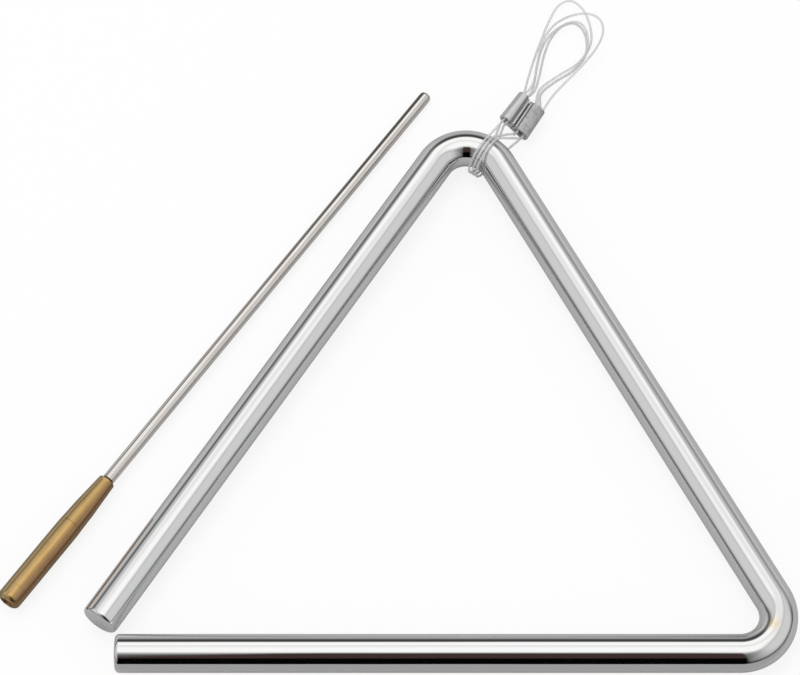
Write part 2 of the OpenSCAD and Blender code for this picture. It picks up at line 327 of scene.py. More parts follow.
@dataclass(frozen=True)
class PressedAluminium(Finish):
    """Dull aluminium, smooth on the left barrel and marked by the pliers on the right one."""

    axes: Axes
    name: str = "pressed_aluminium"
    skew: float = 0.0702
    skew_start: float = 0.25
    pale: Colour = (0.88, 0.88, 0.89, 1.0)
    dull: Colour = (0.51, 0.50, 0.505, 1.0)
    # Painted shade colour for the groove beside the left folded edge and for the slot.
    painted_shade: Colour = (0.10, 0.095, 0.095, 1.0)

    def looks(self, desk: NodeDesk) -> Looks:
        """Blotches and dents on the pressed side, fine lines on the other, painted shade in the groove and
        the slot.
        """
        along, side, over = lengths = self.axes.read(desk)
        from_slot = side + along * self.skew + self.skew_start
        pressed = desk.step(from_slot, -0.2, 1.4)
        # Painted shade: the groove between the left barrel and its folded edge, and the slot between the
        # edges.
        groove = desk.band(from_slot, -2.15, -1.3, 0.35) * desk.step(over, -0.4, 0.4)
        slot = desk.band(from_slot, -0.2, 0.2, 0.08)
        dents = desk.drawn(lengths, 0.9, 1.3)
        scratch = desk.noise(desk.combined(along * 1.4 + side * 1.9, side * 0.9, over * 0.9), 1.6, 4.0, 0.7)
        lines = desk.drawn(lengths, 0.3, 6.0)
        blotch = desk.step(desk.noise(desk.place(), 700.0, 4.0, 0.65), 0.4, 0.7) * (0.25 + pressed * 0.75)
        marks = desk.step(scratch, 0.5, 0.62) * pressed
        surface_colour = desk.mixed(pressed * 0.35 + blotch * 0.4 + marks * 0.3, self.pale, self.dull)
        return dict(
            Base_Color=desk.mixed(groove * 0.62 + slot * 0.5, surface_colour, self.painted_shade),
            Metallic=1.0,
            Roughness=0.44 + blotch * 0.10 + pressed * 0.05,
            Normal=desk.bump(dents * pressed * 1.2 + scratch * pressed * 0.5 + lines * 0.12, 0.8, 0.00012),
        )


@dataclass(frozen=True)
class DrawnSteel(Finish):
    """Bright rod with a warm cast, with painted shade at its neck and painted reflection on its sides,
    darkest on the left towards the tip.
    """

    axes: Axes
    neck_end: float
    name: str = "drawn_steel"
    cool: Colour = (0.93, 0.90, 0.87, 1.0)
    warm: Colour = (0.88, 0.82, 0.78, 1.0)
    # Painted shade colour for the neck and the dark sides.
    painted_shade: Colour = (0.05, 0.042, 0.035, 1.0)
    darkening: Pair = (60.0, 215.0)

    def looks(self, desk: NodeDesk) -> Looks:
        """Fine lines along the rod, slow changes of tone, painted reflection on the sides and painted shadow
        at the neck.
        """
        lengths = self.axes.read(desk)
        along = lengths[0]
        lines = desk.drawn(lengths, 0.05, 3.5)
        tone = desk.step(desk.drawn(lengths, 0.08, 0.4, rough=0.5), 0.35, 0.65)
        specks = desk.step(desk.noise(desk.place(), 1400.0), 0.64, 0.74)
        # Painted shadow in the narrow neck where the rod goes into the handle, also rougher there.
        neck = 1.0 - desk.step(along, self.neck_end - 0.1, self.neck_end + 0.1)
        _, round_at = desk.round_axis(lengths)
        # Painted reflection: the left side darkens towards the tip, and a dark line runs along the right
        # side.
        left = (1.0 - desk.step(round_at, -0.42, -0.28)) * desk.step(along, *self.darkening)
        shaded = left * 0.85 + desk.band(round_at, 0.69, 0.77, 0.04) * 0.5
        clean = desk.mixed(shaded, desk.mixed(tone, self.cool, self.warm), self.painted_shade)
        return dict(
            Base_Color=desk.mixed(neck, clean, self.painted_shade),
            Metallic=1.0,
            Roughness=0.06 + tone * 0.05 + specks * 0.12 + neck * 0.4,
            Normal=desk.bump(lines + specks * -0.15, 0.3, 0.000012),
        )


@dataclass(frozen=True)
class TurnedBrass(Finish):
    """Lacquered brass with the rings of the lathe, with painted light and shade: lit and dull sides, a
    painted sheen, a darker right side and painted shade in its hollow.
    """

    axes: Axes
    length: float
    ring_marks: Pair
    hollow: float
    name: str = "turned_brass"
    # Painted light: lit and dull are lit and shaded copies of the brass.
    lit: Colour = (0.77, 0.495, 0.185, 1.0)
    dull: Colour = (0.50, 0.352, 0.168, 1.0)
    # Painted sheen colour for a light strip left of the handle's middle.
    painted_sheen: Colour = (0.84, 0.60, 0.28, 1.0)
    # Painted shade colour for the darker right side.
    brown: Colour = (0.45, 0.27, 0.138, 1.0)
    # Colour for real stains and for painted shade at the right edge and the lower butt.
    stain_and_shade: Colour = (0.30, 0.16, 0.06, 1.0)
    # Painted shade colour for the hollow in the butt.
    pit: Colour = (0.26, 0.12, 0.03, 1.0)
    # Painted shade colour for the dark edges and the seat of the rod.
    painted_shade: Colour = (0.07, 0.045, 0.02, 1.0)

    def looks(self, desk: NodeDesk) -> Looks:
        """Fine and scribed rings, streaks along the handle, and strips of painted light and shade round it.
        """
        lengths = self.axes.read(desk)
        along, _, over = lengths
        from_axis, round_at = desk.round_axis(lengths)
        rings = desk.drawn(lengths, 7.0, 0.03, 2.0)
        streaks = desk.drawn(lengths, 0.06, 1.1, rough=0.55)
        skin = desk.step(desk.noise(desk.place(), 240.0, 4.0, 0.6), 0.42, 0.78)
        browned = desk.step(streaks * 0.75 + rings * 0.25, 0.42, 0.68)
        first, second = self.ring_marks
        scribed = desk.band(along, first - 0.12, first + 0.12, 0.08)
        scribed = scribed + desk.band(along, second - 0.1, second + 0.1, 0.08) * 0.6
        # Painted shadow round the bore at the nose, where the rod goes in.
        seat = 1.0 - desk.step(from_axis, 2.2, 2.6)
        seat = desk.step(along, self.length - 0.25, self.length - 0.02) * seat
        # Painted shade in the hollow of the butt, also rougher there.
        inside = 1.0 - desk.step(from_axis, 0.96 * self.hollow, 1.02 * self.hollow)
        pit = desk.step(along, 0.02, 0.3) * inside
        # Painted shade on the lower half of the butt's end.
        butt = (1.0 - desk.step(along, 0.2, 1.8)) * (1.0 - desk.step(over, -1.6, 1.8)) * (1.0 - inside)
        # Painted shade along the far right edge.
        edge = desk.band(round_at, 0.80, 0.95, 0.07)
        # Painted reflection: dark along the far left edge and along the lower far right edge.
        rim = 1.0 - desk.step(round_at, -0.84, -0.66)
        rim = rim + (1.0 - desk.step(over, -0.4, 0.9)) * desk.step(round_at, 0.88, 0.97)
        # Painted light: a lit copy of the brass over the handle's middle and right, and a dull, shaded copy
        # on its left side.
        surface_colour = desk.mixed(desk.step(round_at, -0.24, 0.22), self.dull, self.lit)
        # Real stains from the streaks, the skin and the scribed rings, with painted shade at the right edge
        # and the lower butt.
        stained_and_shaded = browned * 0.2 + skin * 0.12 + scribed * 0.6 + edge * 0.5 + butt * 0.4
        for share, colour in (
            # Painted shade: the right side of the handle turns darker brown.
            (desk.step(round_at, 0.24, 0.72), self.brown),
            # Painted sheen: a light strip left of the middle.
            (desk.band(round_at, -0.58, -0.16, 0.08) * 0.85, self.painted_sheen),
            (stained_and_shaded, self.stain_and_shade),
            (rim * 0.45, self.painted_shade),
            (pit * 0.85, self.pit),
            (seat * 0.9, self.painted_shade),
        ):
            surface_colour = desk.mixed(share, surface_colour, colour)
        return dict(
            Base_Color=surface_colour,
            Metallic=1.0,
            Roughness=0.25 + skin * 0.07 + browned * 0.05 + pit * 0.2 + butt * 0.15,
            Coat_Weight=0.25,
            Coat_Roughness=0.12,
            Normal=desk.bump(rings * 0.6 + streaks * 0.2 - scribed * 0.8, 0.5, 0.00004),
        )


# Meshes


def shown(name: str, data: bpy.types.ID) -> Piece:
    """Put data in the scene as an object of that name."""
    made = bpy.data.objects.new(name, data)
    bpy.context.scene.collection.objects.link(made)
    return made


def meshed(work: bmesh.types.BMesh) -> Mesh:
    """Turn worked faces into a mesh, and free them."""
    mesh = bpy.data.meshes.new("worked")
    work.to_mesh(mesh)
    work.free()
    return mesh


def skin_rings(work: bmesh.types.BMesh, rings: Sequence[Sequence[Vert]]) -> None:
    """Make the faces between rings, of which one of a single point is a pole."""
    for first, second in zip(rings, rings[1:]):
        sides = max(len(first), len(second))
        for k in range(sides):
            n = (k + 1) % sides
            corners = [ring[i % len(ring)] for ring, i in ((first, k), (first, n), (second, n), (second, k))]
            work.faces.new(list(dict.fromkeys(corners)))


def finished_piece(
    name: str, mesh: Mesh, finish: Finish | None = None, shading: Shading = Shading.TURNED
) -> Piece:
    """Put a mesh in the scene as a piece.

    Args:
        name: The piece's name.
        mesh: Its mesh, in place.
        finish: Its finish, or None where the mesh has it already.
        shading: How sharp an edge shows.

    Returns:
        The piece.
    """
    mesh.name = name
    work = bmesh.new()
    work.from_mesh(mesh)
    bmesh.ops.recalc_face_normals(work, faces=work.faces)
    if work.calc_volume(signed=True) < 0:
        bmesh.ops.reverse_faces(work, faces=work.faces)
    work.to_mesh(mesh)
    work.free()
    mesh.polygons.foreach_set("use_smooth", [True] * len(mesh.polygons))
    mesh.set_sharp_from_angle(angle=math.radians(shading.value))
    if finish is not None:
        mesh.materials.append(finish.material())
    return shown(name, mesh)


def turned_mesh(axes: Axes, profile: Sequence[Pair], sides: int) -> Mesh:
    """Turn a profile round an axis.

    Args:
        axes: Where it starts and its directions.
        profile: Radius and length along for each ring, in millimetres; radius 0 is a pole.
        sides: Faces round the axis.

    Returns:
        The closed mesh, in metres.
    """
    work = bmesh.new()
    turns = even(0, 2 * math.pi, sides)[:-1]
    rings = []
    for radius, along in profile:
        spokes = [(radius * math.cos(a), radius * math.sin(a)) for a in turns] if radius else [(0.0, 0.0)]
        rings.append([work.verts.new(axes.at(along, *spoke)) for spoke in spokes])
    skin_rings(work, rings)
    return meshed(work)


class SweptSection:
    """Geometry Nodes tree that sweeps a round section of changing radius along points."""

    def __init__(self) -> None:
        """Build the tree, with named inputs for the sides and the finish."""
        self.tree = bpy.data.node_groups.new("swept_section", "GeometryNodeTree")
        face = self.tree.interface
        face.new_socket("Geometry", in_out="INPUT", socket_type="NodeSocketGeometry")
        self.sides = face.new_socket("Sides", in_out="INPUT", socket_type="NodeSocketInt").identifier
        self.finish = face.new_socket("Finish", in_out="INPUT", socket_type="NodeSocketMaterial").identifier
        face.new_socket("Geometry", in_out="OUTPUT", socket_type="NodeSocketGeometry")
        desk = NodeDesk(self.tree)
        given = desk.outputs("NodeGroupInput")
        path = desk.make("GeometryNodeMeshToCurve", {"Mesh": given["Geometry"]})
        named = {"Name": SECTION_RADIUS}
        radius = desk.make("GeometryNodeInputNamedAttribute", named, "Attribute", data_type="FLOAT")
        circle = desk.make("GeometryNodeCurvePrimitiveCircle", {"Resolution": given["Sides"]})
        sweep = {"Curve": path, "Profile Curve": circle, "Scale": radius, "Fill Caps": True}
        skin = desk.make("GeometryNodeCurveToMesh", sweep)
        real = desk.make("GeometryNodeRealizeInstances", {"Geometry": skin})
        dressed = desk.make("GeometryNodeSetMaterial", {"Geometry": real, "Material": given["Finish"]})
        desk.make("NodeGroupOutput", {"Geometry": dressed})

    def mesh(self, points: Sequence[Vector], radii: Sequence[float], sides: int, finish: Finish) -> Mesh:
        """Sweep one chain.

        Args:
            points: The chain's points, in metres.
            radii: The radius at each, in metres.
            sides: Faces round the section.
            finish: The mesh's finish.

        Returns:
            The swept mesh with its finish.
        """
        chain = bpy.data.meshes.new("chain")
        chain.from_pydata(points, [(i, i + 1) for i in range(len(points) - 1)], [])
        chain.attributes.new(SECTION_RADIUS, "FLOAT", "POINT").data.foreach_set("value", list(radii))
        carrier = shown("chain", chain)
        modifier = carrier.modifiers.new("sweep", "NODES")
        modifier.node_group = self.tree
        modifier[self.sides] = sides
        modifier[self.finish] = finish.material()
        mesh = bpy.data.meshes.new_from_object(carrier.evaluated_get(bpy.context.evaluated_depsgraph_get()))
        bpy.data.objects.remove(carrier)
        bpy.data.meshes.remove(chain)
        mesh.attributes.remove(mesh.attributes[SECTION_RADIUS])
        return mesh


# Bar


@dataclass
class Bar:
    """The bent bar: three legs, two bends and two cut ends, with sizes in millimetres."""

    section: SweptSection
    thickness: float = 12.0
    bottom_leg: float = 214.4
    middle_leg: float = 218.7
    open_leg: float = 216.4
    corner_angle: float = 61.8
    apex_angle: float = 60.8
    corner_bend: float = 12.6
    apex_bend: float = 12.0
    end_round: float = 1.3
    tilt: float = 0.416327
    origin: Pair = (-127.152, 99.9491)
    sides: int = 96
    end_steps: int = 8
    bend_steps: int = 56

    def __post_init__(self) -> None:
        """Work out the legs' directions, the apex bend's centre and the open leg's end."""
        self.radius = self.thickness / 2
        self.middle_turn = 180 - self.corner_angle
        self.open_turn = 360 - self.corner_angle - self.apex_angle
        apex = ray(self.middle_turn) * self.middle_leg
        run = self._run(self.apex_bend, self.apex_angle)
        self.apex_centre = apex - ray(self.middle_turn) * run + ray(self.middle_turn + 90) * self.apex_bend
        self.open_end = apex + ray(self.open_turn) * self.open_leg

    @staticmethod
    def _run(bend: float, angle: float) -> float:
        """Length from a corner to the start of its bend."""
        return bend * math.tan(math.radians((180 - angle) / 2))

    def _arc(self, centre: Vector, bend: float, start: float, turn: float) -> list[Vector]:
        """Points of one bend."""
        return [centre + ray(a) * bend for a in even(start, start + turn, self.bend_steps)]

    def placed(self, flat: Vector) -> Vector:
        """Point of the bar's plane in the object's frame, in millimetres."""
        cos, sin = cos_sin(self.tilt)
        return Vector((flat.x - self.origin[0], flat.y * cos - self.origin[1], flat.y * sin + self.radius))

    def chain(self) -> tuple[list[Vector], list[float]]:
        """Follow the axis of the bar.

        Returns:
            Its points in the object's frame and the radius at each, in metres.
        """
        turns = even(0, math.pi / 2, self.end_steps)
        inward = [self.end_round * (1 - math.cos(a)) for a in turns]
        tips = [self.radius - self.end_round * (1 - math.sin(a)) for a in turns]
        run = self._run(self.corner_bend, self.corner_angle)
        first = Vector((-self.bottom_leg, 0, 0))
        points = [first + Vector((s, 0, 0)) for s in inward]
        corner = Vector((-run, self.corner_bend, 0))
        points += self._arc(corner, self.corner_bend, -90, 180 - self.corner_angle)
        points += self._arc(self.apex_centre, self.apex_bend, self.middle_turn - 90, 180 - self.apex_angle)
        points += [self.open_end - ray(self.open_turn) * s for s in reversed(inward)]
        radii = tips + [self.radius] * (len(points) - 2 * len(tips)) + tips[::-1]
        return [self.placed(p) * MM for p in points], [r * MM for r in radii]

    def build(self) -> list[Piece]:
        """Make the bar as one piece on its body.

        Returns:
            The piece.
        """
        mesh = self.section.mesh(*self.chain(), self.sides, ChromePlate())
        piece = finished_piece("bent_bar", mesh)
        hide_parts("triangle_bar")
        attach(piece, Body.BAR.value)
        return [piece]


# Hanger


class Barrel(Enum):
    """The crimp's two barrels, by the side that they stand on."""

    LEFT = -1
    RIGHT = 1


@dataclass(frozen=True)
class LoopShape:
    """One finger loop, as shares of the longest reach; each side widens by two shares of its own."""

    reach: float
    lean: float
    half_width: float
    level: int
    left: Pair
    right: Pair


@dataclass
class Hanger:
    """The line wrapped three times round the apex bend, its four finger loops and its crimp."""

    section: SweptSection
    bar: Bar
    line: float = 0.8
    line_sides: int = 14
    wrap_space: float = 0.5
    wrap_bow: float = 0.2
    wrap_step: float = 1.35
    strand_step: float = 1.4
    strand_run: float = 8.1
    lean: float = 32.5
    level_step: float = 1.3
    stub: float = 1.6
    reach: float = 43.6
    room: float = 0.03
    crimp_length: float = 11.4
    flat_run: float = 1.1
    sheet: float = 0.9
    seam: float = 0.5
    roll: float = 25.0
    rise: float = 2.5
    shift: float = 0.85
    joined_share: float = 0.5
    web_share: float = 0.92
    lip_share: float = 1.8
    edge_share: float = 0.9
    edge_steps: int = 10
    foot_share: float = 0.56
    foot_angle: float = 34.0
    press: float = 2.7
    barrel_steps: int = 56
    bore_steps: int = 48
    corner: float = 0.9
    corner_run: float = 1.5
    burr: float = 0.06
    burr_angle: float = 70.0
    crook: float = 0.8
    crook_start: float = 0.15
    crook_side: float = 2.6
    crook_run: float = 1.8
    lead: float = 1.2
    draw_power: int = 6
    settle_power: int = 7
    wrap_steps: int = 11
    run_steps: int = 3
    loop_steps: int = 15
    smooth_steps: int = 4
    loops: tuple[LoopShape, ...] = (
        LoopShape(0.844, -0.093, 0.332, 2, (0.214, 1.058), (-0.311, 1.693)),
        LoopShape(0.853, -0.122, 0.372, 0, (0.086, 0.834), (-0.558, 1.999)),
        LoopShape(0.951, -0.021, 0.47, 3, (0.188, 1.544), (0.507, 0.159)),
        LoopShape(1, -0.239, 0.484, 1, (0.821, -0.239), (-0.618, 2.546)),
    )

    def __post_init__(self) -> None:
        """Work out the hanger's own frame and the crimp's places."""
        out = ray(self.bar.middle_turn - self.bar.apex_angle / 2 - self.lean)
        start = self.bar.placed(self.bar.apex_centre + out * self.bar.apex_bend)
        self.axes = Axes(start, out, Vector((out.y, -out.x, 0)), Vector((0, 0, 1)))
        self.wrap_radius = self.bar.radius + self.wrap_space + self.line / 2
        self.bore = self.strand_step / math.sqrt(2) + self.line / 2 + self.room
        self.barrel = self.bore + self.sheet
        self.barrel_at = self.barrel + self.sheet * self.joined_share + self.seam / 2
        self.roll_cos, self.roll_sin = cos_sin(self.roll)
        lift = (self.barrel_at + self.flat_run) * self.roll_sin
        self.crimp_over = lift + self.barrel + self.rise - start.z
        self.mouth_low = self.bar.radius + self.strand_run
        self.mouth_top = self.mouth_low + self.crimp_length

    def hung(self, point: Vector) -> Vector:
        """Point of the hanger's frame, across, away and over, in metres."""
        return self.axes.at(point.y, point.x, point.z)

    def rolled(self, x: float, y: float) -> Pair:
        """Point of the crimp's section, across and over in the hanger's frame."""
        across = x * self.roll_cos + y * self.roll_sin + self.shift
        return across, self.crimp_over - x * self.roll_sin + y * self.roll_cos

    def strand(self, barrel: Barrel, column: int, row: int) -> Pair:
        """Place of one strand in its barrel."""
        flat = self.flat_run if barrel is Barrel.RIGHT and column > 0 else 0
        x = barrel.value * self.barrel_at + column * self.strand_step / 2 + flat
        return self.rolled(x, row * self.strand_step / 2)

    def _on_wrap(self, across: float, angle: float) -> Vector:
        """Point on a wrap round the bar."""
        cos, sin = cos_sin(angle)
        bow = 1 + self.wrap_bow if cos < 0 else 1
        return Vector((across, self.wrap_radius * cos * bow, self.wrap_radius * sin))

    def _wrap(self, front: Pair, back: Pair, across: float) -> list[Vector]:
        """One wrap, straight from the crimp, round the bar and straight back."""
        away = self.mouth_low - self.lead
        runs, turns = [], []
        for strand, sign, whole in ((front, 1, 0), (back, -1, 360)):
            held = math.degrees(math.acos(self.wrap_radius / math.hypot(away, strand[1])))
            turns.append(whole + (math.degrees(math.atan2(strand[1], away)) + sign * held))
            top, foot = Vector((strand[0], away, strand[1])), self._on_wrap(across, turns[-1])
            runs.append([top.lerp(foot, share) for share in even(0, 1, self.run_steps)[:-1]])
        return runs[0] + [self._on_wrap(across, t) for t in even(*turns, self.wrap_steps)] + runs[1][::-1]

    def _through(self, strand: Pair) -> list[Vector]:
        """A strand inside the crimp, from its low mouth to its top."""
        return [Vector((strand[0], u, strand[1])) for u in even(self.mouth_low, self.mouth_top, 2)]

    def _loop(self, left: Pair, right: Pair, shape: LoopShape) -> list[Vector]:
        """One finger loop, up through the crimp on the left and down again on the right."""
        level = shape.level * self.level_step + self.line / 2 + self.room - self.axes.start.z
        points = self._through(left)
        for a in even(0, 2 * math.pi, self.loop_steps)[1:-1]:
            k = (1 - math.cos(a)) / 2
            strand, wide, side = (left, shape.left, -1) if a < math.pi else (right, shape.right, 1)
            near = (1 - k) ** self.settle_power
            half = math.sqrt(1 - k) * k * (shape.half_width * k**2 + (1 - k) * (wide[0] + wide[1] * k))
            swing = shape.lean * k**1.5 + side * half
            across = strand[0] * (1 - k) ** self.draw_power + self.reach * swing
            away = self.mouth_top + self.lead + self.reach * shape.reach * k
            points.append(Vector((across, away, strand[1] * near + level * (1 - near))))
        return points + self._through(right)[::-1]

    def _cut(self, strand: Pair) -> list[Vector]:
        """The cut end that stands a little out of the crimp."""
        return [Vector((strand[0], self.mouth_low - self.stub, strand[1]))]

    def route(self) -> list[Vector]:
        """The line's route in the hanger's frame, from its left cut end to its right one."""
        places = ((1, 1), (-1, 1), (-1, -1), (1, -1))
        left, right = ([self.strand(barrel, *place) for place in places] for barrel in Barrel)
        end_left, front_left, back_left, back_inner = left
        front_right, front_inner, end_right, back_right = right
        small_top, small_low, wide_top, wide_low = self.loops
        return (
            self._cut(end_left)
            + self._loop(end_left, front_inner, small_top)
            + self._wrap(front_inner, back_inner, 0)
            + self._loop(back_inner, back_right, small_low)
            + self._wrap(front_right, back_right, self.wrap_step)[::-1]
            + self._loop(front_left, front_right, wide_top)[::-1]
            + self._wrap(front_left, back_left, -self.wrap_step)
            + self._loop(back_left, end_right, wide_low)
            + self._cut(end_right)
        )

    @staticmethod
    def _between(a: Vector, b: Vector, c: Vector, d: Vector, k: float) -> Vector:
        """Point on the smooth line through b and c, at share k between them."""
        tb = math.sqrt((b - a).length)
        tc = tb + math.sqrt((c - b).length)
        td = tc + math.sqrt((d - c).length)
        t = tb + (tc - tb) * k
        ab, bc, cd = a.lerp(b, t / tb), b.lerp(c, (t - tb) / (tc - tb)), c.lerp(d, (t - tc) / (td - tc))
        abc, bcd = ab.lerp(bc, t / tc), bc.lerp(cd, (t - tb) / (td - tb))
        return abc.lerp(bcd, (t - tb) / (tc - tb))

    def centreline(self) -> list[Vector]:
        """Smooth points along the route, in the object's frame and in metres."""
        given = self.route()
        ends = [2 * given[0] - given[1], *given, 2 * given[-1] - given[-2]]
        shares = even(0, 1, self.smooth_steps)[:-1]
        smooth = [self._between(*ends[i : i + 4], k) for i in range(len(given) - 1) for k in shares]
        return [self.hung(p) for p in [*smooth, given[-1]]]

    def _left_wall(self, radius: float, degrees: float) -> Pair:
        """Point of the left barrel's section."""
        cos, sin = cos_sin(degrees)
        return radius * cos - self.barrel_at, radius * sin

    def _right_wall(self, radius: float, degrees: float) -> Pair:
        """Point of the right barrel's section, pressed flat to a rounded oblong."""
        cos, sin = cos_sin(degrees)
        wide = radius + self.flat_run / 2
        far = (abs(cos / wide) ** self.press + abs(sin / radius) ** self.press) ** (-1 / self.press)
        return self.barrel_at + self.flat_run / 2 + far * cos, far * sin

    def _folded_edge(self, drop: float) -> list[Pair]:
        """The left folded edge, over its rounded top and down into the slot."""
        low = -self.barrel * self.web_share
        nose = self.sheet * self.edge_share / 2
        top = low + self.barrel * self.lip_share - drop
        turns = [cos_sin(180 - turn) for turn in even(0, 180, self.edge_steps)]
        over = [(-self.seam / 2 - nose + nose * cos, top - nose + nose * sin) for cos, sin in turns]
        foot = (-(self.seam / 2 + self.sheet), self.barrel * self.foot_share)
        return [foot, *over, (-self.seam / 2, low + self.sheet)]

    def section_at(self, drop: float) -> list[Pair]:
        """Outline of the folded sheet, across and over, with its edges cut down by drop."""
        low = math.degrees(math.asin(self.web_share))
        steps, meet = self.barrel_steps, self.foot_angle
        left = [self._left_wall(self.barrel, -a) for a in even(low, 360 - meet, steps)[:-1]]
        right = [self._right_wall(self.barrel, a) for a in even(180 - meet, low - 180, steps)[1:]]
        edge = self._folded_edge(drop)
        mirrored = [(-x, y) for x, y in reversed(edge)]
        return [*left, *edge, *mirrored, *right, (0.0, -self.barrel * self.web_share)]

    def _crooked(self, outline: Sequence[Pair], up: float) -> list[Pair]:
        """An outline with its slot and its right side slewed to the left towards the top."""
        off = self.crook_start - self.crook * up / self.crimp_length
        return [(x + off * min(1.0, max(0.0, (x + self.crook_side) / self.crook_run)), y) for x, y in outline]

    def _crimp_mesh(self) -> Mesh:
        """Fold the crimp's sheet, with its two bores and its folded edges cut round at the top.

        Returns:
            The closed mesh, in metres.
        """
        work = bmesh.new()

        def ring(outline: Sequence[Pair], up: float) -> list[Vert]:
            """Points of one outline at a height along the crimp."""
            places = [self.rolled(*point) for point in outline]
            return [work.verts.new(self.axes.at(self.mouth_low + up, *place)) for place in places]

        length = self.crimp_length
        heights = [0.0, 0.3, 0.9, *even(0, length, 8)[1:7]]
        heights += [length - d for d in (self.corner_run, 1.1, 0.75, 0.45, 0.2, 0.0)]
        drops = [self.corner * max(0.0, 1 - (length - h) / self.corner_run) ** 2 for h in heights]
        stacks = [[ring(self._crooked(self.section_at(d), h), h) for h, d in zip(heights, drops)]]
        for wall in (self._left_wall, self._right_wall):
            bore = [wall(self.bore, a) for a in even(0, 360, self.bore_steps)[:-1]]
            stacks.append([ring(bore, h) for h in (0.0, length)])
        for stack in stacks:
            skin_rings(work, stack)
        for end in (0, -1):
            rims = [stack[end] for stack in stacks]
            edges = [work.edges.get(pair) for rim in rims for pair in zip(rim, rim[1:] + rim[:1])]
            bmesh.ops.triangle_fill(work, edges=edges, use_beauty=True, normal=self.axes.along)
        bmesh.ops.recalc_face_normals(work, faces=work.faces)
        sharp = [
            e
            for e in work.edges
            if e.calc_face_angle(0.0) > math.radians(self.burr_angle)
            and abs((e.verts[0].co - e.verts[1].co).dot(self.axes.along)) < 1e-7
        ]
        bmesh.ops.bevel(work, geom=sharp, offset=self.burr * MM, segments=2, profile=0.5, affect="EDGES")
        return meshed(work)

    def build_crimp(self) -> Piece:
        """Make the crimp.

        Returns:
            The piece.
        """
        cos, sin, side, up = self.roll_cos, self.roll_sin, self.axes.side, self.axes.over
        middle = self.hung(Vector((self.shift, self.mouth_low + self.crimp_length / 2, self.crimp_over))) / MM
        axes = Axes(middle, self.axes.along, side * cos - up * sin, up * cos + side * sin)
        aluminium = PressedAluminium(axes)
        piece = finished_piece("folded_crimp", self._crimp_mesh(), aluminium, Shading.FOLDED)
        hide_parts("crimp_ferrule")
        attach(piece, Body.HANGER.value)
        return piece

    def build(self) -> list[Piece]:
        """Returns:
            The pieces.
        """
        points = self.centreline()
        mesh = self.section.mesh(points, [self.line / 2 * MM] * len(points), self.line_sides, ClearNylon())
        line = finished_piece("wound_line", mesh)
        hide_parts("hanger_line")
        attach(line, Body.HANGER.value)
        crimp = self.build_crimp()
        length = sum((b - a).length for a, b in zip(points, points[1:]))
        LOG.info("line %.1f mm long", length / MM)
        return [line, crimp]


# Beater


